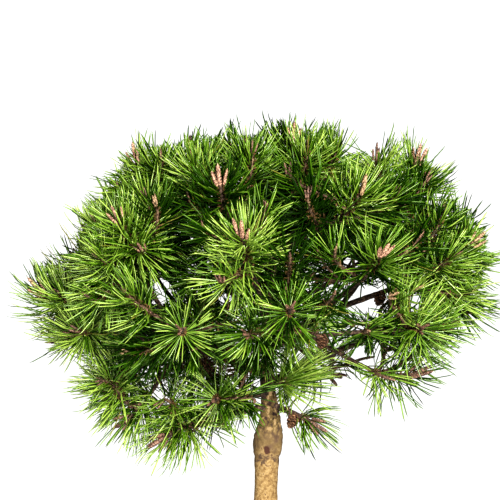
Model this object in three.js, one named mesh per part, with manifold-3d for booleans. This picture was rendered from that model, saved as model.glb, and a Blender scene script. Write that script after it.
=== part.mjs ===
// A young mugo pine grafted on a clear stem, as nurseries sell it: a straight tan stem with a knob at
// the graft, and a round crown of upturned shoots. Millimetres, +Z up, front towards -Y, and the
// origin in the middle of the flat cut under the stem, at ground level.
import * as THREE from "three";
import { mergeVertices } from "three/addons/utils/BufferGeometryUtils.js";
import Module from "manifold-3d";

const wasm = await Module();
wasm.setup();

// ---------------------------------------------------------------- driving dimensions
const EAST = new THREE.Vector3(1, 0, 0);
const NORTH = new THREE.Vector3(0, 1, 0);
const UP = new THREE.Vector3(0, 0, 1);
const GAP = 0.35; // left between touching pieces

// Stem and leader
const GRAFT_HEIGHT = 500;
const FORK_HEIGHT = 546; // where the lowest boughs leave
const LEADER_TOP = 622;
const FOOT_RADIUS = 14.2; // of the stem just above the root flare
const STEM_RADIUS = 11.6; // of the stem just under the graft
const NECK_RADIUS = 7.6; // of the grafted wood above the knob
const NECK_FROM = 6; // above the graft, where the knob starts to narrow to the neck
const NECK_TO = 60;
const LEADER_TIP_RADIUS = 3.9;
const KNOB = { swell: 3.6, above: 2, spread: 17 };
const FORK = { swell: 2, above: 16, spread: 11 };
const FLARE = { swell: 8, height: 20, lobes: 5, lobeDepth: 0.34, lobeTurn: 0.7 };
const STEM_BOW = -5; // sideways bow of the stem between ground and graft
const CROOK = { aside: 3, above: 28, spread: 22 }; // of the neck over the knob
const FORWARD_SHARE = 0.5; // of any sideways drift that also goes forward
const TRUNK_SIDES = 13;
const TRUNK_HEIGHTS = [
  ...[0, 6, 14, 26, 44, 70],
  ...[130, 200, 270, 340, 400, 450, 474],
  ...[484, 491, 498, 505, 513, 520, 528, 536],
  ...[546, 556, 564, 574, 590, LEADER_TOP],
];

// Crown: the surface on which the shoots' buds lie, and how the shoots stand on it
const CROWN_CENTRE = new THREE.Vector3(-6, 0, 668);
const CROWN_HALF = new THREE.Vector3(222, 214, 140);
const REACH_SHARPNESS = 22; // how closely the surface follows each mass's own reach
const LAYERS = [
  { share: 1, spacing: 39, lowest: -90 },
  { share: 0.62, spacing: 58, lowest: -50 },
];
const LATTICE = 600; // directions tried for a side shoot's end
const TIP_DEPTH = 0.12; // share of the reach by which a side shoot may stay inside
const TIP_TURN = 24; // degrees over which a side shoot's end turns at random
const TIP_RISE = 30; // degrees by which a shoot points up half way up the crown
const TIP_RISE_CHANGE = 56; // more of it at the top, and less of it at the bottom
const GOLDEN_ANGLE = 180 * (3 - Math.sqrt(5));
const SKIRT_BELOW = -34; // degrees: under this the crown hangs in separate skirts
const SKIRT_SPREAD = 54;
const STEM_CLEARING = 62; // around the stem, where no side shoot ends below the fork
const CELL_SITE = 0.82; // where along a mass's reach the middle of its space lies
const CELL_GAP = 1.2;

// Limbs: boughs and the stems of the masses
const BOUGH_SHARE = 0.5; // of a limb's length that is bare bough; the rest is its mass's stem
const MAIN_ROOT_RADIUS = 4.4;
const SIDE_ROOT_RADIUS = 3.1;
const MAIN_END_RADIUS = 2.9;
const SIDE_END_RADIUS = 2.6;
const BOUGH_SIDES = 5;
const BOUGH_STEPS = 6;
const LIMB_RISE = 34; // degrees by which a limb leaves the trunk upwards
const LIMB_RISE_SHARE = 0.62; // of its end's own elevation that adds to this
const FOLLOW_PARENT = 0.35; // how far a limb still runs along its parent where it leaves it
const LIMB_BEND = [0.36, 0.34]; // shares of a limb's span that its start and its end run straight

// Shoots: three-sided twigs, with needles round a slim core at the end
const STEM_NODES = 6; // places on a mass's stem that are tried for a side shoot
const FIRST_NODE = 0.03; // share of the stem
const LAST_NODE = 0.68;
const GOLDEN_SHARE = 0.618;
const FOLLOW_STEM = 0.4;
const SHOOT_BEND = [0.35, 0.36];
const SHORTEST_SHOOT = 43;
const TWIG_SIDES = 3;
const TWIG_STEPS = 2;
const TWIG_ROOT_RADIUS = 1.1;
const TWIG_RADIUS = 2.2;
const CORE_RADIUS = 2.5;
const CORE_LENGTH = 27;
const CORE_TWIST = 1.32; // radians from one ring of needle roots to the next
const BUD_LENGTH = 9;
const NEEDLE_LENGTH = 43;
const NEEDLE_SPREAD = [82, 60, 38]; // degrees from the shoot, band by band towards its bud
const NEEDLE_SPREAD_CHANGE = 14; // degrees over which that varies at random
const NEEDLE_ROOT_RADIUS = 2.2;
const NEEDLE_CUTS = [1, 0.78, 0.58]; // lengths tried before a needle is left out
const NEEDLE_CLEARANCE = 0.5;
const SHOOT_SEED = 1927;
const NEEDLE_SEED = 31;

// Ripe cones: an egg's outline, as shares of its radius and length
const CONE_LENGTH = 18;
const CONE_RADIUS = 6.8;
const CONE_SIDES = 7;
const CONE_DROOP = 0.9;
const CONE_OUTLINE = [
  [0, 0],
  [0.72, 0.08],
  [1, 0.34],
  [0.7, 0.74],
  [0, 1],
];

// Each mass of foliage: where its leading shoot ends, as degrees round the crown from the front
// (positive to the right) and up from its middle, its reach as a share of the crown, the limb it
// springs from, and how far along that limb. On the trunk that share runs from fork to leader tip.
// A boughless mass stands on the trunk itself. cone is the share of the stem at which a cone hangs,
// and spread is how far from its leading shoot a mass low in the crown may have side shoots. rise is
// the slope at which a limb leaves, where that isn't the usual one. turn and lift are the degrees by
// which its end turns, round the crown and upwards, beyond what its place gives.
const WIDE = { spread: 75 };
const DROOPING = { rise: -32, lift: 32 };
const BY_THE_STEM = { boughless: true, cone: 0.54, spread: 45 };
const FRONTWARD = { cone: 0.1, turn: -38, lift: -4 };
const UPTURNED = { turn: 14, lift: 14 };
const UPSWEPT = { turn: 30, lift: 46 };
const MASSES = [
  { name: "top", around: 55, up: 80, reach: 1.02, from: "trunk", at: 1, boughless: true },
  { name: "top_front", around: -14, up: 42, reach: 1.0, from: "trunk", at: 0.86 },
  { name: "top_back", around: 176, up: 50, reach: 1.0, from: "trunk", at: 0.78 },
  { name: "left_wing", around: -80, up: -5, reach: 1.01, from: "trunk", at: 0.26, lift: 22 },
  { name: "front_mid", around: 7, up: -11, reach: 1.0, from: "trunk", at: 0.42 },
  { name: "right_wing", around: 70, up: 14, reach: 1.03, from: "trunk", at: 0.6, cone: 0.1 },
  { name: "back_mid", around: 176, up: 4, reach: 1.0, from: "trunk", at: 0.46 },
  { name: "back_left_low", around: -124, up: -20, reach: 1.0, from: "trunk", at: 0.36 },
  { name: "back_right_low", around: 122, up: -22, reach: 0.98, from: "trunk", at: 0.18 },
  { name: "skirt_right", around: 62, up: -40, reach: 1.02, from: "right_wing", at: 0.13, ...DROOPING },
  { name: "skirt_inner", around: 62, up: -75, reach: 1.1, from: "trunk", at: -0.1, ...BY_THE_STEM },
  { name: "skirt_front_left", around: -22, up: -57, reach: 1.01, from: "trunk", at: 0.06, ...UPTURNED },
  { name: "skirt_left_low", around: -54, up: -64, reach: 1.28, from: "trunk", at: -0.12, ...WIDE },
  { name: "front_brow", around: -5, up: 18, reach: 1.0, from: "front_mid", at: 0.3 },
  { name: "front_left_low", around: -21, up: -20, reach: 1.0, from: "left_wing", at: 0.2, turn: 14 },
  { name: "left_shoulder", around: -42, up: 24, reach: 1.0, from: "left_wing", at: 0.3 },
  { name: "left_hollow", around: -90, up: 27, reach: 0.81, from: "left_wing", at: 0.42 },
  { name: "skirt_left", around: -84, up: -48, reach: 1.07, from: "left_wing", at: 0.38, ...UPSWEPT },
  { name: "skirt_left_front", around: -66, up: -57, reach: 1.22, from: "front_left_low", at: 0.25, ...WIDE },
  { name: "top_left", around: -80, up: 56, reach: 1.02, from: "top_front", at: 0.2 },
  { name: "front_right_high", around: 33, up: 38, reach: 1.0, from: "top_front", at: 0.3 },
  { name: "front_right_mid", around: 31, up: 10, reach: 1.0, from: "right_wing", at: 0.26 },
  { name: "top_right", around: 82, up: 50, reach: 1.1, from: "right_wing", at: 0.36 },
  { name: "front_right_low", around: 46, up: -20, reach: 1.0, from: "front_mid", at: 0.2, ...FRONTWARD },
  { name: "back_left_shoulder", around: -134, up: 24, reach: 1.0, from: "back_left_low", at: 0.3 },
  { name: "back_right_shoulder", around: 126, up: 22, reach: 1.0, from: "back_mid", at: 0.28 },
  { name: "skirt_back_left", around: -156, up: -48, reach: 1.0, from: "back_left_low", at: 0.38, cone: 0.3 },
  { name: "skirt_back_right", around: 146, up: -50, reach: 1.0, from: "back_right_low", at: 0.36 },
];

// ---------------------------------------------------------------- materials
const bark = new THREE.MeshStandardMaterial({ color: 0xb98f58, roughness: 0.85, metalness: 0 });
const boughBark = new THREE.MeshStandardMaterial({ color: 0x4a382c, roughness: 0.9, metalness: 0 });
const needles = new THREE.MeshStandardMaterial({ color: 0x4c7a22, roughness: 0.55, metalness: 0 });

// ---------------------------------------------------------------- small helpers
const radians = THREE.MathUtils.degToRad;
const lerp = THREE.MathUtils.lerp;
const bump = (x, width) => Math.exp(-((x / width) ** 2));

function stepsBetween(from, to, steps) {
  return Array.from({ length: steps + 1 }, (_, i) => lerp(from, to, i / steps));
}

// A seeded generator of numbers from 0 to 1, so that the same tree grows each time.
function makeRandom(seed) {
  let state = seed >>> 0;
  return function random() {
    state = (state + 0x6d2b79f5) >>> 0;
    let t = state;
    t = Math.imul(t ^ (t >>> 15), t | 1);
    t ^= t + Math.imul(t ^ (t >>> 7), t | 61);
    return ((t ^ (t >>> 14)) >>> 0) / 4294967296;
  };
}

function solidOf(geometry) {
  return new wasm.Manifold(
    new wasm.Mesh({
      numProp: 3,
      vertProperties: geometry.getAttribute("position").array,
      triVerts: new Uint32Array(geometry.index.array),
    }),
  );
}

function geometryOf(solid) {
  const { vertProperties, triVerts } = solid.getMesh();
  const geometry = new THREE.BufferGeometry();
  geometry.setAttribute("position", new THREE.BufferAttribute(vertProperties, 3));
  geometry.setIndex(new THREE.BufferAttribute(triVerts, 1));
  geometry.computeVertexNormals();
  return geometry;
}

function addPiece(group, name, solid, material) {
  const mesh = new THREE.Mesh(geometryOf(solid), material);
  mesh.name = name;
  group.add(mesh);
}

// ---------------------------------------------------------------- lofted wood
// Frames along a curve, at the given shares of its length: each has its point, the curve's direction
// there and two directions square to it.
function framesAlong(curve, shares) {
  let side = null;
  return shares.map((share) => {
    const point = curve.getPointAt(share);
    const along = curve.getTangentAt(share);
    const guide = side ?? (Math.abs(along.z) > 0.8 ? EAST : UP);
    side = guide.clone().addScaledVector(along, -guide.dot(along)).normalize();
    const across = along.clone().cross(side);
    return { point, along, side, across };
  });
}

function ringAt(frame, radiusAt, sides, turn = 0) {
  return Array.from({ length: sides }, (_, i) => {
    const angle = turn + (i * 2 * Math.PI) / sides;
    const radius = radiusAt(angle);
    return frame.point
      .clone()
      .addScaledVector(frame.side, radius * Math.cos(angle))
      .addScaledVector(frame.across, radius * Math.sin(angle));
  });
}

// The triangles of a flat cap. A level ring may have a lobed outline, and any other is regular.
function capFaces(ring) {
  if (ring.every((point) => point.z === ring[0].z)) {
    return THREE.ShapeUtils.triangulateShape(ring.map(({ x, y }) => new THREE.Vector2(x, y)), []);
  }
  return ring.slice(2).map((_, i) => [0, i + 1, i + 2]);
}

// Joins rings of equal size into one closed surface. apexOf may raise a triangle into a spike, and
// tip closes the far end with a point instead of a flat face.
function loft(rings, { tip = null, apexOf = () => null } = {}) {
  const sides = rings[0].length;
  const points = rings.flat();
  const faces = [];
  const addFace = (a, b, c, band) => {
    const apex = apexOf([points[a], points[b], points[c]], band);
    if (!apex) {
      faces.push([a, b, c]);
      return;
    }
    const s = points.push(apex) - 1;
    faces.push([a, b, s], [b, c, s], [c, a, s]);
  };
  for (let band = 0; band < rings.length - 1; band++) {
    for (let i = 0; i < sides; i++) {
      const a = band * sides + i;
      const b = band * sides + ((i + 1) % sides);
      addFace(a, b, a + sides, band);
      addFace(a + sides, b, b + sides, band);
    }
  }
  capFaces(rings[0]).forEach(([a, b, c]) => faces.push([a, c, b]));
  const last = (rings.length - 1) * sides;
  if (tip) {
    const t = points.push(tip) - 1;
    rings[0].forEach((_, i) => faces.push([last + i, last + ((i + 1) % sides), t]));
  } else {
    capFaces(rings.at(-1)).forEach((face) => faces.push(face.map((i) => last + i)));
  }
  const geometry = new THREE.BufferGeometry();
  const flatPoints = new Float32Array(points.flatMap((p) => [p.x, p.y, p.z]));
  geometry.setAttribute("position", new THREE.BufferAttribute(flatPoints, 3));
  geometry.setIndex(faces.flat());
  return geometry;
}

// ---------------------------------------------------------------- trunk
function trunkAxis(height) {
  const bow = STEM_BOW * Math.sin(Math.PI * Math.min(height / GRAFT_HEIGHT, 1));
  const aside = bow + CROOK.aside * bump(height - GRAFT_HEIGHT - CROOK.above, CROOK.spread);
  return new THREE.Vector3(aside, -FORWARD_SHARE * aside, height);
}

const flareAt = (height) => FLARE.swell * Math.exp(-height / FLARE.height);

function trunkRadius(height) {
  const above = height - GRAFT_HEIGHT;
  const stem = lerp(FOOT_RADIUS, STEM_RADIUS, Math.min(height / GRAFT_HEIGHT, 1));
  const upLeader = THREE.MathUtils.clamp((height - FORK_HEIGHT) / (LEADER_TOP - FORK_HEIGHT), 0, 1);
  const leader = lerp(NECK_RADIUS, LEADER_TIP_RADIUS, upLeader);
  const wood = lerp(stem, leader, THREE.MathUtils.smoothstep(above, NECK_FROM, NECK_TO));
  const knob = KNOB.swell * bump(above - KNOB.above, KNOB.spread);
  const fork = FORK.swell * bump(height - FORK_HEIGHT - FORK.above, FORK.spread);
  return wood + knob + fork + flareAt(height);
}

// grow makes the trunk that much thicker and longer, to cut clear room round it.
function trunkSolid(grow = 0) {
  const rings = TRUNK_HEIGHTS.map((height) => {
    const lobe = flareAt(height) * FLARE.lobeDepth;
    const radiusAt = (angle) =>
      trunkRadius(height) + lobe * Math.sin(FLARE.lobes * angle + FLARE.lobeTurn) + grow;
    const frame = { point: trunkAxis(height), side: EAST, across: NORTH };
    return ringAt(frame, radiusAt, TRUNK_SIDES);
  });
  rings.at(-1).forEach((point) => {
    point.z += grow;
  });
  return solidOf(loft(rings));
}

// ---------------------------------------------------------------- crown surface
function towards(around, up) {
  const a = radians(around);
  const e = radians(up);
  return new THREE.Vector3(Math.cos(e) * Math.sin(a), -Math.cos(e) * Math.cos(a), Math.sin(e));
}

function reachTowards(direction) {
  let weight = 0;
  let total = 0;
  for (const mass of MASSES) {
    const closeness = Math.exp(REACH_SHARPNESS * (direction.dot(towards(mass.around, mass.up)) - 1));
    weight += closeness;
    total += closeness * mass.reach;
  }
  return total / weight;
}

function crownPoint(direction, reach) {
  return direction.clone().multiply(CROWN_HALF).multiplyScalar(reach).add(CROWN_CENTRE);
}

// A shoot ends turned up: nearly level low in the crown, and upright at its top.
function tipDirection(place, turnAround, turnUp) {
  const offset = place.clone().sub(CROWN_CENTRE).divide(CROWN_HALF);
  const level = THREE.MathUtils.clamp(offset.z, -1, 1);
  const rise = radians(TIP_RISE + TIP_RISE_CHANGE * level + turnUp);
  const bearing = Math.atan2(offset.x, -offset.y) + radians(turnAround);
  return new THREE.Vector3(
    Math.cos(rise) * Math.sin(bearing),
    -Math.cos(rise) * Math.cos(bearing),
    Math.sin(rise),
  );
}

// ---------------------------------------------------------------- limbs
// Each limb runs from its parent to the end of its mass's leading shoot. Its first part is the bough
// and the rest is the stem of the mass. A boughless mass's stem stands on the trunk itself.
function growLimbs() {
  const limbs = new Map();
  for (const mass of MASSES) {
    const end = crownPoint(towards(mass.around, mass.up), mass.reach);
    const parent = limbs.get(mass.from);
    const start = parent
      ? parent.curve.getPointAt(mass.at)
      : trunkAxis(lerp(FORK_HEIGHT, LEADER_TOP, mass.at));
    const span = start.distanceTo(end);
    const out = towards(mass.around, mass.rise ?? LIMB_RISE + LIMB_RISE_SHARE * mass.up);
    if (parent) {
      out.lerp(parent.curve.getTangentAt(mass.at), FOLLOW_PARENT).normalize();
    }
    const first = start.clone().addScaledVector(out, span * LIMB_BEND[0]);
    const arriving = tipDirection(end, mass.turn ?? 0, mass.lift ?? 0);
    const second = end.clone().addScaledVector(arriving, -span * LIMB_BEND[1]);
    const curve = new THREE.CubicBezierCurve3(start, first, second, end);
    const bare = mass.boughless ? 0 : BOUGH_SHARE;
    const stemStart = mass.boughless ? 0 : bare + GAP / curve.getLength();
    limbs.set(mass.name, { mass, curve, parent, bare, stemStart, walls: wallsAround(mass) });
  }
  return limbs;
}

const stemRadius = (limb) => (limb.parent ? SIDE_END_RADIUS : MAIN_END_RADIUS);

function boughRadius(limb, share) {
  return lerp(limb.parent ? SIDE_ROOT_RADIUS : MAIN_ROOT_RADIUS, stemRadius(limb), share / BOUGH_SHARE);
}

const boughShares = stepsBetween(0, BOUGH_SHARE, BOUGH_STEPS);

function boughSolid(limb, grow = 0) {
  const rings = framesAlong(limb.curve, boughShares).map((frame, i) =>
    ringAt(frame, () => boughRadius(limb, boughShares[i]) + grow, BOUGH_SIDES),
  );
  return solidOf(loft(rings));
}

const largestPiece = (solid) => solid.decompose().sort((a, b) => b.volume() - a.volume())[0];

// ---------------------------------------------------------------- room for each mass
// The walls of a mass's space are the planes half way to the middles of all the other masses.
function wallsAround(mass) {
  const siteOf = ({ around, up, reach }) => crownPoint(towards(around, up), reach * CELL_SITE);
  const own = siteOf(mass);
  return MASSES.filter((other) => other !== mass).map((other) => {
    const site = siteOf(other);
    const away = site.clone().sub(own).normalize();
    const middle = site.add(own).multiplyScalar(0.5);
    return { away, limit: middle.dot(away) - CELL_GAP / 2 };
  });
}

const insideCell = (walls, point) => walls.every(({ away, limit }) => point.dot(away) < limit);

// A rod is a round tapering stretch: { from, to, fromRadius, toRadius }. A curve is checked as rods.
function rodsAlong(pointAt, radiusAt, shares) {
  return shares.slice(1).map((share, i) => ({
    from: pointAt(shares[i]),
    to: pointAt(share),
    fromRadius: radiusAt(shares[i]),
    toRadius: radiusAt(share),
  }));
}

function shootRods(curve, start) {
  return rodsAlong((share) => curve.getPointAt(share), () => CORE_RADIUS, stepsBetween(start, 1, 7));
}

// The clear space between two rods.
function clearance(a, b) {
  const u = a.to.clone().sub(a.from);
  const v = b.to.clone().sub(b.from);
  const w = a.from.clone().sub(b.from);
  const [uu, uv, vv, uw, vw] = [u.dot(u), u.dot(v), v.dot(v), u.dot(w), v.dot(w)];
  const clamp = (share) => THREE.MathUtils.clamp(share, 0, 1);
  const skew = uu * vv - uv * uv;
  let s = skew > 1e-9 ? clamp((uv * vw - vv * uw) / skew) : 0;
  const t = clamp((uv * s + vw) / vv);
  s = clamp((uv * t - uw) / uu);
  const between = w.addScaledVector(u, s).addScaledVector(v, -t).length();
  return between - lerp(a.fromRadius, a.toRadius, s) - lerp(b.fromRadius, b.toRadius, t);
}

const isClear = (rod, others, room) => others.every((other) => clearance(rod, other) > room);

// ---------------------------------------------------------------- where the shoots end
// Each mass's leading shoot comes first. Side shoots follow on a spiral lattice, wherever there is room
// for one: over the crown's surface first, and then, wider apart, in the layer inside it.
function growShoots(limbs) {
  const random = makeRandom(SHOOT_SEED);
  const shoots = [];
  for (const [name, limb] of limbs) {
    shoots.push({ name, place: limb.curve.getPointAt(1), curve: limb.curve, start: limb.stemStart });
  }
  for (const { share, spacing, lowest } of LAYERS) {
    for (let k = 0; k < LATTICE; k++) {
      const up = THREE.MathUtils.radToDeg(Math.asin(1 - (2 * k + 1) / LATTICE));
      const direction = towards(k * GOLDEN_ANGLE, up);
      const reach = share * reachTowards(direction) * (1 - TIP_DEPTH * random() ** 2);
      const [turnAround, turnUp] = [TIP_TURN * (random() - 0.5), TIP_TURN * (random() - 0.5)];
      const place = crownPoint(direction, reach);
      const [name, limb] = [...limbs].find(([, owner]) => insideCell(owner.walls, place)) ?? [];
      const crowded = shoots.some((shoot) => shoot.place.distanceTo(place) < spacing)
        || (place.z < FORK_HEIGHT && Math.hypot(place.x, place.y) < STEM_CLEARING);
      const spread = limb?.mass.spread ?? SKIRT_SPREAD;
      const hangs = limb && up < SKIRT_BELOW && limb.curve.getPointAt(1).distanceTo(place) > spread;
      if (!limb || crowded || hangs || up < lowest) {
        continue;
      }
      const curve = sideShoot(limb, place, tipDirection(place, turnAround, turnUp), shoots.length);
      if (curve) {
        shoots.push({ name, place, curve, start: 0 });
      }
    }
  }
  return shoots;
}

// The path of a side shoot from one of the nodes of its mass's stem. It is long enough for a whole
// shoot, keeps to the mass's own space and touches no limb. Where no node gives that, there is none.
function sideShoot(limb, place, direction, order) {
  for (let i = 0; i < STEM_NODES; i++) {
    const share = (order * GOLDEN_SHARE + i / STEM_NODES) % 1;
    const node = lerp(limb.bare, 1, lerp(FIRST_NODE, LAST_NODE, share));
    const curve = shootCurve(limb, node, place, direction);
    const rods = shootRods(curve, 0);
    const keepsIn = rods.every((rod) => insideCell(limb.walls, rod.from));
    if (keepsIn && curve.getLength() > SHORTEST_SHOOT && rods.every((rod) => isClear(rod, limb.near, GAP))) {
      return curve;
    }
  }
  return null;
}

function shootCurve(limb, node, place, direction) {
  const start = limb.curve.getPointAt(node);
  const span = start.distanceTo(place);
  const out = place.clone().sub(start).normalize().lerp(limb.curve.getTangentAt(node), FOLLOW_STEM);
  const first = start.clone().addScaledVector(out.normalize(), span * SHOOT_BEND[0]);
  const second = place.clone().addScaledVector(direction, -span * SHOOT_BEND[1]);
  return new THREE.CubicBezierCurve3(start, first, second, place);
}

// ---------------------------------------------------------------- shoots and cones
// A shoot is a slim twig. Its end is a core from whose every facet a needle stands out, with a bud on
// top. isFree says whether a needle has room.
function shootSolid({ curve, start }, rootRadius, random, isFree) {
  const length = curve.getLength();
  const coreShare = 1 - (CORE_LENGTH + BUD_LENGTH) / length;
  const budShare = 1 - BUD_LENGTH / length;
  const twigShares = stepsBetween(start, coreShare, TWIG_STEPS).slice(0, -1);
  const shares = [...twigShares, ...stepsBetween(coreShare, budShare, NEEDLE_SPREAD.length)];
  const frames = framesAlong(curve, [...shares, 1]);
  const firstTurn = 2 * Math.PI * random();
  const rings = shares.map((_, i) => {
    const isTwig = i < TWIG_STEPS;
    const radius = isTwig ? lerp(rootRadius, TWIG_RADIUS, i / TWIG_STEPS) : CORE_RADIUS;
    const turn = firstTurn + (isTwig ? 0 : (i - TWIG_STEPS) * CORE_TWIST);
    return ringAt(frames[i], () => radius, TWIG_SIDES, turn);
  });
  const apexOf = (corners, band) => {
    if (band < TWIG_STEPS) {
      return null;
    }
    const root = corners[0].clone().add(corners[1]).add(corners[2]).divideScalar(3);
    const { point, along } = frames[band];
    const outward = root.clone().sub(point);
    outward.addScaledVector(along, -outward.dot(along)).normalize();
    const spread = radians(NEEDLE_SPREAD[band - TWIG_STEPS] + NEEDLE_SPREAD_CHANGE * (random() - 0.5));
    const way = along.clone().multiplyScalar(Math.cos(spread)).addScaledVector(outward, Math.sin(spread));
    return NEEDLE_CUTS.map((cut) => root.clone().addScaledVector(way, NEEDLE_LENGTH * cut))
      .find((apex) => isFree({ from: root, to: apex, fromRadius: NEEDLE_ROOT_RADIUS, toRadius: 0 }));
  };
  return solidOf(loft(rings, { tip: frames[shares.length].point, apexOf }));
}

// A ripe cone has its broad end on the twig.
function coneSolid(base, axis) {
  const profile = CONE_OUTLINE.map(
    ([across, along]) => new THREE.Vector2(across * CONE_RADIUS, along * CONE_LENGTH),
  );
  const geometry = new THREE.LatheGeometry(profile, CONE_SIDES);
  geometry.deleteAttribute("normal");
  geometry.deleteAttribute("uv");
  const latheAxis = new THREE.Vector3(0, 1, 0);
  geometry.applyQuaternion(new THREE.Quaternion().setFromUnitVectors(latheAxis, axis));
  geometry.translate(base.x, base.y, base.z);
  return solidOf(mergeVertices(geometry, 1e-3));
}

// ---------------------------------------------------------------- a mass of foliage
// The stem with its leading shoot, the side shoots and any cones, all fused into one solid. A twig or
// needle that would leave the mass's space, or touch a limb, is left out.
function massSolid(limb, shoots, random) {
  const needleRods = [];
  const solids = shoots.map((shoot, own) => {
    const twigRods = shoots.filter((other) => other !== shoot)
      .flatMap((other) => shootRods(other.curve, other.start));
    const isFree = (needle) => {
      const others = needleRods.filter((rod) => rod.own !== own);
      const free = insideCell(limb.walls, needle.to)
        && isClear(needle, [...limb.near, ...twigRods, ...others], NEEDLE_CLEARANCE);
      if (free) {
        needleRods.push({ ...needle, own });
      }
      return free;
    };
    const rootRadius = shoot.curve === limb.curve ? stemRadius(limb) : TWIG_ROOT_RADIUS;
    return shootSolid(shoot, rootRadius, random, isFree);
  });
  if (limb.mass.cone) {
    const node = lerp(limb.bare, 1, limb.mass.cone);
    const axis = limb.curve.getTangentAt(node).cross(UP).normalize().addScaledVector(UP, -CONE_DROOP);
    solids.push(coneSolid(limb.curve.getPointAt(node), axis.normalize()));
  }
  const joined = wasm.Manifold.union(solids);
  return largestPiece(limb.mass.boughless ? joined.subtract(trunkSolid(GAP)) : joined);
}

// ---------------------------------------------------------------- the whole tree
const tree = new THREE.Group();
const limbs = growLimbs();
const boughs = [...limbs.values()].filter((limb) => limb.bare > 0);

addPiece(tree, "trunk", trunkSolid(), bark);
for (const limb of boughs) {
  const carrier = limb.parent ? boughSolid(limb.parent, GAP) : trunkSolid(GAP);
  addPiece(tree, "bough_" + limb.mass.name, largestPiece(boughSolid(limb).subtract(carrier)), boughBark);
}

// What the foliage of a mass keeps clear of: the trunk, all boughs and the stems of other masses.
const wood = rodsAlong(trunkAxis, trunkRadius, TRUNK_HEIGHTS);
for (const limb of boughs) {
  const pointAt = (share) => limb.curve.getPointAt(share);
  wood.push(...rodsAlong(pointAt, (share) => boughRadius(limb, share), boughShares));
}
for (const limb of limbs.values()) {
  const others = [...limbs.values()].filter((other) => other !== limb);
  limb.near = [...wood, ...others.flatMap(({ curve, stemStart }) => shootRods(curve, stemStart))];
}

const shoots = growShoots(limbs);
const needleRandom = makeRandom(NEEDLE_SEED);
for (const [name, limb] of limbs) {
  const own = shoots.filter((shoot) => shoot.name === name);
  addPiece(tree, "foliage_" + name, massSolid(limb, own, needleRandom), needles);
}

export default tree;
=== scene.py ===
# A young mugo pine grafted on a clear stem, as nurseries sell it: a straight tan stem with a knob at the
# graft, dark scaly boughs, and a round crown of upturned shoots with needles in pairs, buds and cones.
import math

import bpy
import numpy as np
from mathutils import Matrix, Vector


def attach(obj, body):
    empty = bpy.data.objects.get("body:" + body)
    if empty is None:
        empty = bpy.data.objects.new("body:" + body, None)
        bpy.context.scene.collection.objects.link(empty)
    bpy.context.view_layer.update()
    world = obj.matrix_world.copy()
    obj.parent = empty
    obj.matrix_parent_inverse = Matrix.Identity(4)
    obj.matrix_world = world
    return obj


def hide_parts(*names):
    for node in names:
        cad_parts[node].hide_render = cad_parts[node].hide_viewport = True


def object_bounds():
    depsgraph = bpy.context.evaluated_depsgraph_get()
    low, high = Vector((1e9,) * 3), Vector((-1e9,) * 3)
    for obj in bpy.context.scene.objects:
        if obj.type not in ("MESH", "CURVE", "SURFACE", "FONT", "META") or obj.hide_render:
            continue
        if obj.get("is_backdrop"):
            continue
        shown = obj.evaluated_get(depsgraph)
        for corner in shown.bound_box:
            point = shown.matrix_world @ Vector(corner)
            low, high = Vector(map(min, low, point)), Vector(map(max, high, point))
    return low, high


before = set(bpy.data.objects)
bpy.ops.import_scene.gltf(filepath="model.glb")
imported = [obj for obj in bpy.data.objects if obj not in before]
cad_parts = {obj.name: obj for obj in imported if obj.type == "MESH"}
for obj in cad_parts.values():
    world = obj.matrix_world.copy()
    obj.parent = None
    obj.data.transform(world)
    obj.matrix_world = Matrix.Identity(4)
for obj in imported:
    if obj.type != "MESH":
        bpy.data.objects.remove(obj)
solid_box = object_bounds()
bpy.ops.object.select_all(action="DESELECT")


# -------------------- stem
# The stem is smooth tan bark with dark specks up to the graft. The knob above it and the neck up to the
# fork are the pine's own rough purple-brown bark. It is drawn up ring by ring from the flat cut at the
# ground, with ribs at the root flare, and its relief is pressed in afterwards.
MM = 0.001
GRAFT_HEIGHT, FORK_HEIGHT, LEADER_TOP = 500, 546, 622
FOOT_RADIUS, STEM_RADIUS, NECK_RADIUS, LEADER_TIP_RADIUS = 14.2, 11.6, 7.6, 3.9
NECK_FROM, NECK_TO = 6, 60
KNOB_SWELL, KNOB_ABOVE, KNOB_SPREAD = 3.6, 2, 17
FORK_SWELL, FORK_ABOVE, FORK_SPREAD = 2, 16, 11
FLARE_SWELL, FLARE_HEIGHT, FLARE_LOBES, FLARE_DEPTH, FLARE_TURN = 8, 20, 5, 0.34, 0.7
STEM_BOW, CROOK_ASIDE, CROOK_ABOVE, CROOK_SPREAD, FORWARD_SHARE = -5, 3, 28, 22, 0.5
STEM_SIDES = 24
RING_HEIGHTS = [0, 4, 9, 15, *range(22, 436, 12), *range(436, 620, 6), LEADER_TOP]


def lerp(a, b, share):
    return a + (b - a) * share


def bump(x, width):
    return math.exp(-((x / width) ** 2))


def trunk_axis(height):
    bow = STEM_BOW * math.sin(math.pi * min(height / GRAFT_HEIGHT, 1))
    aside = bow + CROOK_ASIDE * bump(height - GRAFT_HEIGHT - CROOK_ABOVE, CROOK_SPREAD)
    return np.array([aside, -FORWARD_SHARE * aside, height])


def trunk_radius(height):
    above = height - GRAFT_HEIGHT
    stem_wood = lerp(FOOT_RADIUS, STEM_RADIUS, min(height / GRAFT_HEIGHT, 1))
    up_leader = min(max((height - FORK_HEIGHT) / (LEADER_TOP - FORK_HEIGHT), 0), 1)
    leader = lerp(NECK_RADIUS, LEADER_TIP_RADIUS, up_leader)
    step = min(max((above - NECK_FROM) / (NECK_TO - NECK_FROM), 0), 1)
    wood = lerp(stem_wood, leader, step * step * (3 - 2 * step))
    knob = KNOB_SWELL * bump(above - KNOB_ABOVE, KNOB_SPREAD)
    fork = FORK_SWELL * bump(height - FORK_HEIGHT - FORK_ABOVE, FORK_SPREAD)
    return wood + knob + fork + FLARE_SWELL * math.exp(-height / FLARE_HEIGHT)


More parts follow.
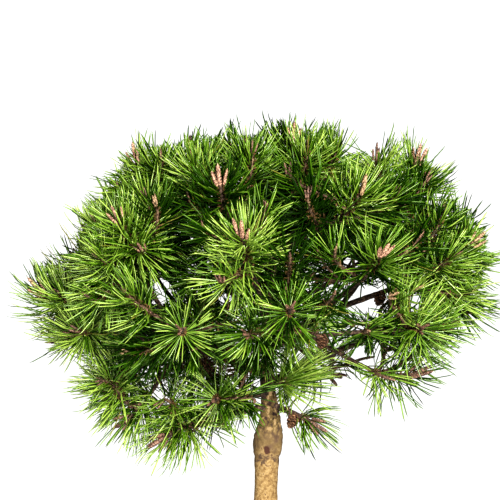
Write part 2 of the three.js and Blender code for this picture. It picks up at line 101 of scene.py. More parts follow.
def press_relief(piece, group, strength, texture=None, middle=0.0):
    """Moves the bark in or out along its normals, where the vertex group says, or all of it."""
    relief = piece.modifiers.new("relief", "DISPLACE")
    relief.strength = strength * MM
    relief.mid_level = middle
    relief.vertex_group = group
    if texture:
        relief.texture = texture
        relief.texture_coords = "LOCAL"
    bpy.ops.object.modifier_apply(modifier=relief.name)


def weigh(piece, group, weight_at):
    """A vertex group whose weight is worked out from each vertex's place in millimetres."""
    weights = piece.vertex_groups.new(name=group)
    for vertex in piece.data.vertices:
        weights.add([vertex.index], min(max(weight_at(*(vertex.co / MM)), 0), 1), "REPLACE")


def edit_mode(on):
    bpy.ops.object.mode_set(mode="EDIT" if on else "OBJECT")


def next_ring(lift, taper, centre):
    """Draws the selected ring on by a lift in metres, and tapers it about its new centre."""
    bpy.ops.mesh.extrude_region_move(TRANSFORM_OT_translate={"value": lift})
    bpy.ops.transform.resize(value=(taper, taper, 1), center_override=centre)


def face_outwards():
    """Turns all faces of the mesh being edited outwards, and ends the editing."""
    bpy.ops.mesh.select_all(action="SELECT")
    bpy.ops.mesh.normals_make_consistent(inside=False)
    edit_mode(False)


foot = {"radius": trunk_radius(0) * MM, "location": trunk_axis(0) * MM}
bpy.ops.mesh.primitive_circle_add(vertices=STEM_SIDES, fill_type="NGON", **foot)
stem = bpy.context.object
stem.name = "stem"
bpy.ops.object.transform_apply()
edit_mode(True)
for low, high in zip(RING_HEIGHTS, RING_HEIGHTS[1:]):
    lift = (trunk_axis(high) - trunk_axis(low)) * MM
    next_ring(lift, trunk_radius(high) / trunk_radius(low), trunk_axis(high) * MM)
face_outwards()


def rib_weight(x, y, z):
    return math.exp(-z / FLARE_HEIGHT) * (0.5 + 0.5 * math.sin(FLARE_LOBES * math.atan2(y, x) + FLARE_TURN))


weigh(stem, "ribs", rib_weight)
press_relief(stem, "ribs", 2 * FLARE_SWELL * FLARE_DEPTH)
rounding = stem.modifiers.new("rounding", "SUBSURF")
rounding.levels = rounding.render_levels = 2
rounding.boundary_smooth = "PRESERVE_CORNERS"
bpy.ops.object.modifier_apply(modifier=rounding.name)

# The rough bark starts at the knob's lower edge, which is a ring pressed in. Each relief has its depth and,
# with a texture, the value that stays level. A pruned shoot left a scar on the front of the graft.
ROUGH_FROM, ROUGH_RISE = 484, 34
GRAFT_RING, RING_WAVE, RING_HALF = 486, 2, 2.6
SCAR, SCAR_HALF, SCAR_BEFORE = (0, -15, 494), (3.0, 4.4), -8
scales = bpy.data.textures.new("bark_scales", "VORONOI")
scales.noise_scale = 5.5 * MM
scales.weight_1, scales.weight_2 = -1, 1
grain = bpy.data.textures.new("bark_grain", "CLOUDS")
grain.noise_scale = 3.5 * MM
grain.noise_depth = 3
dents = bpy.data.textures.new("bark_dents", "CLOUDS")
dents.noise_scale = 26 * MM


def scar_weight(x, y, z):
    from_middle = math.hypot((x - SCAR[0]) / SCAR_HALF[0], (z - SCAR[2]) / SCAR_HALF[1])
    return bump(from_middle, 1) if y < SCAR_BEFORE else 0


weigh(stem, "rough", lambda x, y, z: (z - ROUGH_FROM) / ROUGH_RISE if z > 1 else 0)
weigh(stem, "smooth", lambda x, y, z: min(z / 4, 1))
weigh(stem, "ring", lambda x, y, z: bump(z - GRAFT_RING - RING_WAVE * math.sin(x / 4), RING_HALF))
weigh(stem, "scar", scar_weight)
for relief in (
    ("smooth", 2.6, dents, 0.5),
    ("smooth", 0.6, grain, 0.5),
    ("rough", 2.4, scales, 0.35),
    ("rough", 1.8, grain, 0.5),
    ("ring", -1.1),
    ("scar", -1.5),
):
    press_relief(stem, *relief)

# What the root flare's ribs carried below the ground is pressed flat.
edit_mode(True)
bpy.ops.mesh.select_all(action="DESELECT")
bpy.ops.mesh.select_mode(type="VERT")
edit_mode(False)
for vertex in stem.data.vertices:
    vertex.select = vertex.co.z < 0
edit_mode(True)
bpy.ops.transform.resize(value=(1, 1, 0), center_override=(0, 0, 0))
edit_mode(False)
bpy.ops.object.shade_smooth()


def plain_material(name, roughness, shine, colour=(0.8, 0.8, 0.8)):
    material = bpy.data.materials.new(name)
    material.use_nodes = True
    shader = material.node_tree.nodes["Principled BSDF"]
    shader.inputs["Base Color"].default_value = (*colour, 1)
    shader.inputs["Roughness"].default_value = roughness
    shader.inputs["Specular IOR Level"].default_value = shine
    return material


def noise_over(tree, place, size, detail, roughness=0.5):
    """A noise with grains of a size in millimetres."""
    noise = tree.nodes.new("ShaderNodeTexNoise")
    noise.inputs["Scale"].default_value = 1 / (size * MM)
    noise.inputs["Detail"].default_value = detail
    noise.inputs["Roughness"].default_value = roughness
    tree.links.new(place, noise.inputs["Vector"])
    return noise.outputs["Fac"]


def bark_material(name, stops, roughness, grain_size, bump_size):
    """Bark whose colour comes from a noise ramp, with a fine bump of the same noise."""
    material = plain_material(name, roughness, 0.25)
    nodes, links = material.node_tree.nodes, material.node_tree.links
    shader = nodes["Principled BSDF"]
    place = nodes.new("ShaderNodeTexCoord").outputs["Object"]
    noise = noise_over(material.node_tree, place, grain_size, 6, 0.62)
    ramp = nodes.new("ShaderNodeValToRGB")
    for position, _ in stops[1:-1]:
        ramp.color_ramp.elements.new(position)
    for element, (position, colour) in zip(ramp.color_ramp.elements, stops):
        element.position, element.color = position, (*colour, 1)
    relief = nodes.new("ShaderNodeBump")
    relief.inputs["Strength"].default_value = bump_size
    relief.inputs["Distance"].default_value = 0.6 * MM
    links.new(noise, ramp.inputs["Fac"])
    links.new(noise, relief.inputs["Height"])
    links.new(ramp.outputs["Color"], shader.inputs["Base Color"])
    links.new(relief.outputs["Normal"], shader.inputs["Normal"])
    return material


TAN = [
    (0.36, (0.105, 0.058, 0.022)),
    (0.46, (0.162, 0.1, 0.038)),
    (0.54, (0.212, 0.138, 0.056)),
    (0.64, (0.3, 0.213, 0.105)),
]
stem_bark = bark_material("stem_bark", TAN, 0.9, 3.4, 0.45)
nodes, links = stem_bark.node_tree.nodes, stem_bark.node_tree.links
object_place = nodes["Texture Coordinate"].outputs["Object"]


def linked(kind, operation, *values):
    """The value of a math node whose inputs are joined to outputs or set to numbers."""
    node = nodes.new(kind)
    node.operation = operation
    for socket, value in zip(node.inputs, values):
        if isinstance(value, bpy.types.NodeSocket):
            links.new(value, socket)
        else:
            socket.default_value = value
    return node.outputs["Value"]


def share_between(value, low, high):
    """Goes from 0 to 1 as a value goes from low to high."""
    node = nodes.new("ShaderNodeMapRange")
    node.inputs["From Min"].default_value = low
    node.inputs["From Max"].default_value = high
    links.new(value, node.inputs["Value"])
    return node.outputs["Result"]


def laid_over(under, colour, *shares):
    """A colour laid over another, as far as all of the shares allow."""
    share = shares[0]
    for other in shares[1:]:
        share = linked("ShaderNodeMath", "MULTIPLY", share, other)
    node = nodes.new("ShaderNodeMix")
    node.data_type = "RGBA"
    node.inputs["B"].default_value = (*colour, 1)
    links.new(share, node.inputs["Factor"])
    links.new(under, node.inputs["A"])
    return node.outputs["Result"]


UNEVEN, SCAR_SPREAD, SCAR_EDGE = 26, (3.0, 9, 4.6), 1.6
specks, patches, mottles = (
    noise_over(stem_bark.node_tree, object_place, *shape) for shape in ((3.4, 2), (9, 5), (4.5, 4))
)
up = nodes.new("ShaderNodeSeparateXYZ")
links.new(object_place, up.inputs["Vector"])
uneven_height = linked("ShaderNodeMath", "MULTIPLY_ADD", patches, UNEVEN * MM, up.outputs["Z"])
scar_place = nodes.new("ShaderNodeMapping")
scar_place.vector_type = "TEXTURE"
scar_place.inputs["Location"].default_value = [c * MM for c in SCAR]
scar_place.inputs["Scale"].default_value = [c * MM for c in SCAR_SPREAD]
links.new(object_place, scar_place.inputs["Vector"])
from_scar = linked("ShaderNodeVectorMath", "LENGTH", scar_place.outputs["Vector"])
from_scar = linked("ShaderNodeMath", "MULTIPLY_ADD", mottles, SCAR_EDGE, from_scar)


def above(start, full):
    """Goes from 0 to 1 between two heights, along an uneven edge, or down where the first is higher."""
    return share_between(uneven_height, (start + UNEVEN / 2) * MM, (full + UNEVEN / 2) * MM)


# Each tone, and how far it covers the ones before it: specks; the knob, its patches and its ring; the neck,
# its dark and its pale flakes; the leader, near black as painted shade under the crown; the scar.
STEM_TONES = [
    ((0.085, 0.045, 0.02), share_between(specks, 0.63, 0.7)),
    ((0.082, 0.055, 0.023), above(484, 498), 0.75),
    ((0.085, 0.052, 0.028), above(484, 500), share_between(patches, 0.47, 0.62)),
    ((0.055, 0.033, 0.02), above(481, 484), above(488, 486), share_between(mottles, 0.44, 0.56)),
    ((0.117, 0.078, 0.028), above(508, 522), 0.85),
    ((0.03, 0.016, 0.014), above(500, 524), share_between(mottles, 0.53, 0.6)),
    ((0.27, 0.185, 0.09), above(504, 520), share_between(mottles, 0.46, 0.4)),
    ((0.012, 0.008, 0.007), above(548, 572)),
    ((0.038, 0.014, 0.008), share_between(from_scar, 1.95, 1.6)),
]
colour = nodes["Color Ramp"].outputs["Color"]
for tone, *shares in STEM_TONES:
    colour = laid_over(colour, tone, *shares)
links.new(colour, nodes["Principled BSDF"].inputs["Base Color"])

stem.data.materials.append(stem_bark)
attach(stem, "root")
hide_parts("trunk")


# -------------------- boughs
# Every bough runs on as the stem of its mass, to the bud of its leading shoot. All of them leave the
# trunk or another bough and end on the surface of the crown, each in the middle of its own mass.
CROWN_CENTRE = np.array([-6.0, 0.0, 668.0])
CROWN_HALF = np.array([222.0, 214.0, 140.0])
TIP_RISE, TIP_RISE_CHANGE = 30, 56
LIMB_RISE, LIMB_RISE_SHARE, FOLLOW_PARENT = 34, 0.62, 0.35
LIMB_BEND = (0.36, 0.34)
BOUGH_SHARE, GAP = 0.5, 0.35
MAIN_ROOT_RADIUS, SIDE_ROOT_RADIUS, LEADING_TIP_RADIUS = 4.4, 3.1, 2.2
# Each mass: degrees round the crown from the front and up from its middle, reach, parent, place on it.
MASSES = {
    "top": (55, 80, 1.02, "trunk", 1),
    "top_front": (-14, 42, 1.0, "trunk", 0.86),
    "top_back": (176, 50, 1.0, "trunk", 0.78),
    "left_wing": (-80, -5, 1.01, "trunk", 0.26),
    "front_mid": (7, -11, 1.0, "trunk", 0.42),
    "right_wing": (70, 14, 1.03, "trunk", 0.6),
    "back_mid": (176, 4, 1.0, "trunk", 0.46),
    "back_left_low": (-124, -20, 1.0, "trunk", 0.36),
    "back_right_low": (122, -22, 0.98, "trunk", 0.18),
    "skirt_right": (62, -40, 1.02, "right_wing", 0.13),
    "skirt_inner": (62, -75, 1.1, "trunk", -0.1),
    "skirt_front_left": (-22, -57, 1.01, "trunk", 0.06),
    "skirt_left_low": (-54, -64, 1.28, "trunk", -0.12),
    "front_brow": (-5, 18, 1.0, "front_mid", 0.3),
    "front_left_low": (-21, -20, 1.0, "left_wing", 0.2),
    "left_shoulder": (-42, 24, 1.0, "left_wing", 0.3),
    "left_hollow": (-90, 27, 0.81, "left_wing", 0.42),
    "skirt_left": (-84, -48, 1.07, "left_wing", 0.38),
    "skirt_left_front": (-66, -57, 1.22, "front_left_low", 0.25),
    "top_left": (-80, 56, 1.02, "top_front", 0.2),
    "front_right_high": (33, 38, 1.0, "top_front", 0.3),
    "front_right_mid": (31, 10, 1.0, "right_wing", 0.26),
    "top_right": (82, 50, 1.1, "right_wing", 0.36),
    "front_right_low": (46, -20, 1.0, "front_mid", 0.2),
    "back_left_shoulder": (-134, 24, 1.0, "back_left_low", 0.3),
    "back_right_shoulder": (126, 22, 1.0, "back_mid", 0.28),
    "skirt_back_left": (-156, -48, 1.0, "back_left_low", 0.38),
    "skirt_back_right": (146, -50, 1.0, "back_right_low", 0.36),
}
BOUGHLESS = ("top", "skirt_inner")
CONE_LENGTH, CONE_RADIUS, CONE_DROOP = 18, 6.8, 0.9
DROOPING = {"skirt_right": -32}  # the slope at which it leaves
# Degrees by which a leading shoot's end turns, round the crown and upwards, beyond what its place gives.
TURNED = {
    "left_wing": (0, 22), "skirt_right": (0, 32), "skirt_front_left": (14, 14),
    "front_left_low": (14, 0), "skirt_left": (30, 46), "front_right_low": (-38, -4),
}
# Where the cones hang: the share of a mass's stem, or of its bough where it is below zero.
CONES_AT = {"right_wing": 0.1, "skirt_inner": 0.54, "front_right_low": -0.28, "skirt_back_left": 0.3}
PATH_STEPS = 201


def unit(v):
    return v / np.linalg.norm(v, axis=-1, keepdims=True)


class Branch:
    """A limb or shoot on one bent path, with points found by their share of its length."""

    def __init__(self, *bends):
        self.bends = np.array(bends)
        steps = np.linalg.norm(np.diff(self.drawn(np.linspace(0, 1, PATH_STEPS)), axis=0), axis=1)
        self.lengths = np.concatenate([[0], np.cumsum(steps)])
        self.length = self.lengths[-1]

    def drawn(self, t):
        t = np.asarray(t, float)[..., None]
        a, b, c, d = self.bends
        k = 1 - t
        return k * k * k * a + 3 * k * k * t * b + 3 * k * t * t * c + t * t * t * d

    def along(self, share):
        return np.interp(np.asarray(share) * self.length, self.lengths, np.linspace(0, 1, PATH_STEPS))

    def point(self, share):
        return self.drawn(self.along(share))

    def direction(self, share):
        t = self.along(share)
        return unit(self.drawn(np.minimum(t + 1e-4, 1)) - self.drawn(np.maximum(t - 1e-4, 0)))


def towards(around, up):
    a, e = math.radians(around), math.radians(up)
    return np.array([math.cos(e) * math.sin(a), -math.cos(e) * math.cos(a), math.sin(e)])


def square_to(way, turn, hint):
    """The direction at right angles to a way, turned about it from the side that a hint gives."""
    aside = unit(np.cross(way, hint))
    return aside * np.cos(turn) + np.cross(way, aside) * np.sin(turn)


def crown_point(direction, reach):
    return direction * CROWN_HALF * reach + CROWN_CENTRE


def tip_direction(place, turn_around, turn_up):
    """A shoot ends turned up: nearly level low in the crown, and upright at its top."""
    offset = (place - CROWN_CENTRE) / CROWN_HALF
    level = min(max(offset[2], -1), 1)
    bearing = math.degrees(math.atan2(offset[0], -offset[1]))
    return towards(bearing + turn_around, TIP_RISE + TIP_RISE_CHANGE * level + turn_up)


limbs = {}
for name, (around, up, reach, parent, at) in MASSES.items():
    end = crown_point(towards(around, up), reach)
    start = limbs[parent].point(at) if parent in limbs else trunk_axis(lerp(FORK_HEIGHT, LEADER_TOP, at))
    span = np.linalg.norm(start - end)
    out = towards(around, DROOPING.get(name, LIMB_RISE + LIMB_RISE_SHARE * up))
    if parent in limbs:
        out = unit(lerp(out, limbs[parent].direction(at), FOLLOW_PARENT))
    second = end - tip_direction(end, *TURNED.get(name, (0, 0))) * span * LIMB_BEND[1]
    limbs[name] = Branch(start, start + out * span * LIMB_BEND[0], second, end)

bare = {name: 0 if name in BOUGHLESS else BOUGH_SHARE for name in limbs}
cone_spots = []
for name, share in CONES_AT.items():
    node = lerp(bare[name], 1, share)
    aside = unit(np.cross(limbs[name].direction(node), (0, 0, 1)))
    cone_spots.append((limbs[name].point(node), unit(aside - np.array([0, 0, CONE_DROOP]))))


def draw_branches(name, branches, radii, steps, roundness):
    """One mesh of tapering round branches, drawn as curves of their own thickness."""
    bpy.ops.object.select_all(action="DESELECT")
    bpy.ops.curve.primitive_bezier_curve_add()
    piece = bpy.context.object
    piece.name = name
    edit_mode(True)
    for _ in branches[1:]:
        bpy.ops.curve.primitive_bezier_curve_add()
    edit_mode(False)
    curve = piece.data
    curve.dimensions = "3D"
    for spline, branch, (root_radius, tip_radius) in zip(curve.splines, branches, radii):
        first, last = spline.bezier_points
        for point in (first, last):
            point.handle_left_type = point.handle_right_type = "FREE"
        a, b, c, d = branch.bends * MM
        first.co, first.handle_right, first.handle_left = a, b, 2 * a - b
        last.co, last.handle_left, last.handle_right = d, c, 2 * d - c
        first.radius, last.radius = root_radius, tip_radius
    curve.resolution_u = steps
    curve.bevel_depth = MM
    curve.bevel_resolution = roundness
    curve.use_fill_caps = True
    bpy.ops.object.convert(target="MESH")
    return bpy.context.object


def root_radius(name):
    return SIDE_ROOT_RADIUS if MASSES[name][3] in limbs else MAIN_ROOT_RADIUS


limb_radii = [(root_radius(name), LEADING_TIP_RADIUS) for name in limbs]
boughs = draw_branches("boughs", list(limbs.values()), limb_radii, 36, 4)
rounding = boughs.modifiers.new("rounding", "SUBSURF")
rounding.levels = rounding.render_levels = 1
bpy.ops.object.modifier_apply(modifier=rounding.name)
pegs = bpy.data.textures.new("needle_pegs", "VORONOI")
pegs.noise_scale = 3.2 * MM
pegs.weight_1, pegs.weight_2 = -1, 1
press_relief(boughs, "", 1.5, pegs, 0.4)
press_relief(boughs, "", 0.8, grain, 0.5)
bpy.ops.object.shade_smooth()

SCALY = [(0.36, (0.01, 0.006, 0.005)), (0.52, (0.045, 0.027, 0.019)), (0.68, (0.19, 0.125, 0.08))]
boughs.data.materials.append(bark_material("bough_bark", SCALY, 0.85, 3.2, 0.8))
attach(boughs, "root")
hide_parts(*(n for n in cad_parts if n.startswith("bough_")))


# -------------------- shoots
# Side shoots leave the stem of each mass and turn up to their buds, spaced out over the crown and in a
# second layer inside it. Each keeps to its own mass. Finer twigs then fork off within that reach.
REACH_SHARPNESS = 22
LAYERS = ((1, 39, -90), (0.62, 58, -50))  # share of the reach, spacing and lowest place in degrees
LATTICE = 600
TIP_DEPTH, TIP_TURN = 0.12, 24
GOLDEN_ANGLE = 180 * (3 - math.sqrt(5))
# Low in the crown a mass's shoots keep within a distance of its leading one.
SKIRT_BELOW, SKIRT_SPREAD, STEM_CLEARING = -34, 54, 62
SPREADS = {"skirt_inner": 45, "skirt_left_low": 75, "skirt_left_front": 75}
CELL_SITE, CELL_GAP = 0.82, 1.2
STEM_NODES, FIRST_NODE, LAST_NODE, GOLDEN_SHARE = 6, 0.03, 0.68, 0.618
FOLLOW_STEM, SHOOT_BEND, SHORTEST_SHOOT = 0.4, (0.35, 0.36), 43
CORE_RADIUS, SHOOT_SEED = 2.5, 1927


def random_numbers(seed):
    state = seed

    def draw():
        nonlocal state
        state = (state + 0x6D2B79F5) & 0xFFFFFFFF
        t = state
        t = (t ^ (t >> 15)) * (t | 1) & 0xFFFFFFFF
        t ^= t + ((t ^ (t >> 7)) * (t | 61) & 0xFFFFFFFF) & 0xFFFFFFFF
        return (t ^ (t >> 14)) / 4294967296

    return draw


leading = {name: towards(m[0], m[1]) for name, m in MASSES.items()}
sites = {name: crown_point(leading[name], m[2] * CELL_SITE) for name, m in MASSES.items()}
walls = {}
for name, own in sites.items():
    others = np.array([site for other, site in sites.items() if other != name])
    away = unit(others - own)
    walls[name] = (away, ((others + own) / 2 * away).sum(1) - CELL_GAP / 2)


def inside(name, points):
    away, limit = walls[name]
    return bool((np.atleast_2d(points) @ away.T < limit).all())


def reach_towards(direction):
    closeness = np.array([math.exp(REACH_SHARPNESS * (direction @ way - 1)) for way in leading.values()])
    return closeness @ np.array([m[2] for m in MASSES.values()]) / closeness.sum()


def rods(points, radii):
    """Round tapering stretches between neighbouring points."""
    return points[:-1], points[1:], np.array(radii[:-1], float), np.array(radii[1:], float)


def stem_rods(branch, start):
    return rods(branch.point(np.linspace(start, 1, 8)), [CORE_RADIUS] * 8)


def room_between(few, many):
    """The least clear space between any of a few rods and any of many others."""
    u = (few[1] - few[0])[:, None]
    v = (many[1] - many[0])[None]
    w = few[0][:, None] - many[0][None]
    uu, uv, vv, uw, vw = (u * u).sum(-1), (u * v).sum(-1), (v * v).sum(-1), (u * w).sum(-1), (v * w).sum(-1)
    skew = uu * vv - uv * uv
    s = np.where(skew > 1e-9, np.clip((uv * vw - vv * uw) / np.maximum(skew, 1e-9), 0, 1), 0)
    t = np.clip((uv * s + vw) / vv, 0, 1)
    s = np.clip((uv * t - uw) / uu, 0, 1)
    between = np.linalg.norm(w + u * s[..., None] - v * t[..., None], axis=-1)
    own = few[2][:, None] + (few[3] - few[2])[:, None] * s
    return (between - own - (many[2] + (many[3] - many[2]) * t)).min()


TRUNK_HEIGHTS = [0, 6, 14, 26, 44, 70, 130, 200, 270, 340, 400, 450, 474, 484, 491, 498, 505, 513, 520]
TRUNK_HEIGHTS += [528, 536, 546, 556, 564, 574, 590, LEADER_TOP]
wood = [rods(np.array([trunk_axis(h) for h in TRUNK_HEIGHTS]), [trunk_radius(h) for h in TRUNK_HEIGHTS])]
MAIN_END_RADIUS, SIDE_END_RADIUS = 2.9, 2.6
stem_starts = {}
for name, limb in limbs.items():
    stem_starts[name] = bare[name] and bare[name] + GAP / limb.length
    if name in BOUGHLESS:
        continue
    end_radius = SIDE_END_RADIUS if MASSES[name][3] in limbs else MAIN_END_RADIUS
    shares = np.linspace(0, 1, 7)
    wood.append(rods(limb.point(shares * BOUGH_SHARE), lerp(root_radius(name), end_radius, shares)))


def near_wood(name):
    others = [stem_rods(limbs[other], stem_starts[other]) for other in limbs if other != name]
    return [np.concatenate(parts) for parts in zip(*wood, *others)]


near = {name: near_wood(name) for name in limbs}


def shoot_branch(limb, node, place, direction):
    start = limb.point(node)
    first, last = np.linalg.norm(start - place) * np.array(SHOOT_BEND)
    out = unit(lerp(unit(place - start), limb.direction(node), FOLLOW_STEM))
    return Branch(start, start + out * first, place - direction * last, place)


def side_shoot(name, place, direction, order):
    for i in range(STEM_NODES):
        share = (order * GOLDEN_SHARE + i / STEM_NODES) % 1
        node = lerp(bare[name], 1, lerp(FIRST_NODE, LAST_NODE, share))
        branch = shoot_branch(limbs[name], node, place, direction)
        own = stem_rods(branch, 0)
        if inside(name, own[0]) and branch.length > SHORTEST_SHOOT and room_between(own, near[name]) > GAP:
            return branch
    return None


def under_the_crown(place):
    return place[2] < FORK_HEIGHT and math.hypot(place[0], place[1]) < STEM_CLEARING


draw = random_numbers(SHOOT_SEED)
shoots = list(limbs.items())
tips = [limb.point(1) for limb in limbs.values()]
for layer_share, spacing, lowest in LAYERS:
    for k in range(LATTICE):
        up = math.degrees(math.asin(1 - (2 * k + 1) / LATTICE))
        direction = towards(k * GOLDEN_ANGLE, up)
        reach = layer_share * reach_towards(direction) * (1 - TIP_DEPTH * draw() ** 2)
        turn_around, turn_up = TIP_TURN * (draw() - 0.5), TIP_TURN * (draw() - 0.5)
        place = crown_point(direction, reach)
        name = next((n for n in limbs if inside(n, place)), None)
        if name is None or up < lowest or np.linalg.norm(np.array(tips) - place, axis=1).min() < spacing:
            continue
        far = np.linalg.norm(limbs[name].point(1) - place) > SPREADS.get(name, SKIRT_SPREAD)
        if under_the_crown(place) or (up < SKIRT_BELOW and far):
            continue
        branch = side_shoot(name, place, tip_direction(place, turn_around, turn_up), len(shoots))
        if branch:
            shoots.append((name, branch))
            tips.append(place)

# Where the sky shows through and round the crown: X and Z of the middle where a level view from the front
# meets the upright plane through the stem, half width, half height, and the share of needles left in. No
# side shoot or finer twig crosses a gap that is wide and nearly empty.
SKY = [
    (85, 551, 18, 14, 0.04), (90, 535, 14, 12, 0.04), (68, 566, 11, 5, 0.1), (105, 648, 15, 9, 0.06),
    (92, 637, 11, 8, 0.1), (110, 630, 8, 5, 0.15), (70, 574, 12, 4, 0.15), (100, 580, 9, 7, 0.2),
    (118, 581, 18, 9, 0.4), (149, 640, 6, 9, 0.1), (123, 533, 7, 12, 0.25), (157, 549, 8, 7, 0.4),
    (-103, 657, 9, 6, 0.1), (-42, 646, 7, 6, 0.15), (-26, 514, 7, 10, 0.1), (20, 503, 8, 22, 0.1),
    (34, 541, 5, 8, 0.2), (78, 643, 9, 6, 0.3), (60, 655, 24, 13, 0.35), (83, 679, 8, 6, 0.05),
    (53, 677, 8, 6, 0.35), (78, 589, 14, 7, 0.35), (-101, 542, 5, 4, 0.2), (-37, 573, 6, 6, 0.05),
    (54, 581, 8, 6, 0.05), (34, 588, 5, 7, 0.05), (92, 589, 7, 7, 0.05), (111, 594, 5, 7, 0.05),
    (-107, 642, 7, 4, 0.05), (28, 530, 5, 7, 0.05), (95, 614, 6, 5, 0.05), (117, 656, 5, 6, 0.05),
    (170, 746, 7, 6, 0.3), (93, 802, 19, 13, 0.08), (-17, 819, 14, 9, 0.15), (-58, 816, 14, 5, 0.3),
    (-199, 580, 14, 12, 0.1), (-193, 539, 11, 9, 0.15), (-231, 593, 12, 14, 0.15),
    (-163, 783, 13, 16, 0.12), (-147, 801, 12, 10, 0.15), (-112, 810, 18, 10, 0.12),
    (-222, 574, 14, 10, 0.15), (-176, 757, 10, 9, 0.12), (-93, 812, 10, 8, 0.15), (-81, 821, 14, 8, 0.15),
    (-199, 721, 15, 9, 0.12), (-107, 481, 8, 9, 0.2), (6, 833, 14, 6, 0.15), (42, 826, 12, 10, 0.15),
    (111, 805, 10, 12, 0.12), (174, 790, 15, 13, 0.12), (224, 728, 14, 10, 0.12), (211, 747, 15, 13, 0.12),
    (234, 706, 13, 16, 0.06), (236, 668, 12, 12, 0.15), (229, 613, 14, 9, 0.15), (51, 496, 5, 9, 0.15),
    (-45, 503, 10, 9, 0.15), (-205, 701, 15, 12, 0.1),
]
VIEWPOINT = np.array([-17.0, -2200.0, 693.0])


def seen(points):
    """X and Z of points as the viewpoint sees them in the upright plane through the stem."""
    points = np.atleast_2d(points)
    nearer = VIEWPOINT[1] / (VIEWPOINT[1] - points[:, 1])
    return VIEWPOINT[[0, 2]] + (points[:, [0, 2]] - VIEWPOINT[[0, 2]]) * nearer[:, None]


def before_gap(starts, ends, gap, scale=1.0):
    """The share of each straight stretch that lies before a gap, or 1 where it misses the gap."""
    size = np.array(gap[2:4]) * np.atleast_1d(scale)[:, None]
    a = (seen(starts) - gap[:2]) / size
    ab = (seen(ends) - gap[:2]) / size - a
    aa, along, span = (a * a).sum(1), (a * ab).sum(1), np.maximum((ab * ab).sum(1), 1e-9)
    depth = along**2 - span * (aa - 1)
    t = (-along - np.sqrt(np.maximum(depth, 0))) / span
    misses = (depth < 0) | (t > 1) | ((aa > 1) & (t < 0))
    return np.where(misses, 1, np.clip(t, 0, 1))


WIDE_GAPS = [gap for gap in SKY if gap[4] <= 0.1 and gap[2] * gap[3] > 50]


def blocks_sky(branch):
    points = branch.point(np.linspace(0.08, 1, 12))
    return any((before_gap(points[:-1], points[1:], gap, 0.85) < 1).any() for gap in WIDE_GAPS)


shoots = [shoot for order, shoot in enumerate(shoots) if order < len(limbs) or not blocks_sky(shoot[1])]

# Finer twigs leave short shoots at a share of their length, and long ones at a distance from their end.
FINE_LENGTH, FINE_SPACING, FINE_REACH = (32, 44), 30, 0.84
FINE_SHARES, LONG_SHOOT, FROM_END = (0.3, 0.72), 90, (45, 80)
FINE_FORWARD, FINE_UP = 0.7, 0.25
fine_twigs = []
for order, (name, branch) in enumerate(shoots):
    for half in range(2):
        short = branch.length < LONG_SHOOT
        node = lerp(*FINE_SHARES, draw()) if short else 1 - lerp(*FROM_END, draw()) / branch.length
        along = branch.direction(node)
        turn = math.radians(GOLDEN_ANGLE * (2 * order + half))
        aside = square_to(along, turn, (0.3, 0.2, 1))
        way = unit(along * FINE_FORWARD + aside + np.array([0, 0, FINE_UP]))
        place = branch.point(node) + way * lerp(*FINE_LENGTH, draw())
        offset = (place - CROWN_CENTRE) / CROWN_HALF
        reach = np.linalg.norm(offset)
        crowded = np.linalg.norm(np.array(tips) - place, axis=1).min() < FINE_SPACING
        too_far = reach > FINE_REACH * reach_towards(unit(offset))
        if crowded or not inside(name, place) or too_far or under_the_crown(place):
            continue
        twig = shoot_branch(branch, node, place, unit(lerp(way, tip_direction(place, 0, 0), 0.5)))
        if not blocks_sky(twig):
            fine_twigs.append((name, twig))
            tips.append(place)

# Short spurs off the leader: place on it, end, the way the end faces, needles, how far they spread in
# degrees from the foremost to the hindmost, their length and tone: greens lit or dimmed as painted light
# and shade, or dead brown.
SPURS = [
    (0.08, (20, -26, 565), (72, 30), 64, (6, 60), 64, 0),
    (0.55, (-6, -96, 600), (-4, -30), 44, (22, 84), 42, 4),
    (0.3, (-24, -36, 580), (-62, 30), 46, (22, 84), 30, 7),
    (0.02, (-30, -44, 548), (-36, -24), 40, (22, 90), 44, 3),
    (0.75, (-62, -128, 668), (-34, 6), 46, (22, 90), 42, 3),
]
SPUR_BEND = 0.35
SPUR_RADII, SHOOT_RADII, FINE_RADII = (2.6, 2.0), (2.3, 1.7), (1.4, 1.2)
spurs = []
for share, place, facing, *_ in SPURS:
    start, place = trunk_axis(lerp(FORK_HEIGHT, LEADER_TOP, share)), np.array(place, float)
    bend = np.linalg.norm(place - start) * SPUR_BEND
    spurs.append(Branch(start, lerp(start, place, SPUR_BEND), place - towards(*facing) * bend, place))

side_shoots = [branch for _, branch in shoots[len(limbs) :]]
twig_radii = [SPUR_RADII] * len(spurs) + [SHOOT_RADII] * len(side_shoots) + [FINE_RADII] * len(fine_twigs)
twigs = draw_branches("twigs", spurs + side_shoots + [branch for _, branch in fine_twigs], twig_radii, 9, 2)
press_relief(twigs, "", 0.9, pegs, 0.4)
bpy.ops.object.shade_smooth()
TWIG_BARK = [(0.36, (0.02, 0.012, 0.008)), (0.52, (0.085, 0.05, 0.03)), (0.68, (0.27, 0.18, 0.105))]
twigs.data.materials.append(bark_material("twig_bark", TWIG_BARK, 0.8, 2.8, 0.6))
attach(twigs, "root")
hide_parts(*(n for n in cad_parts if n.startswith("foliage_")))
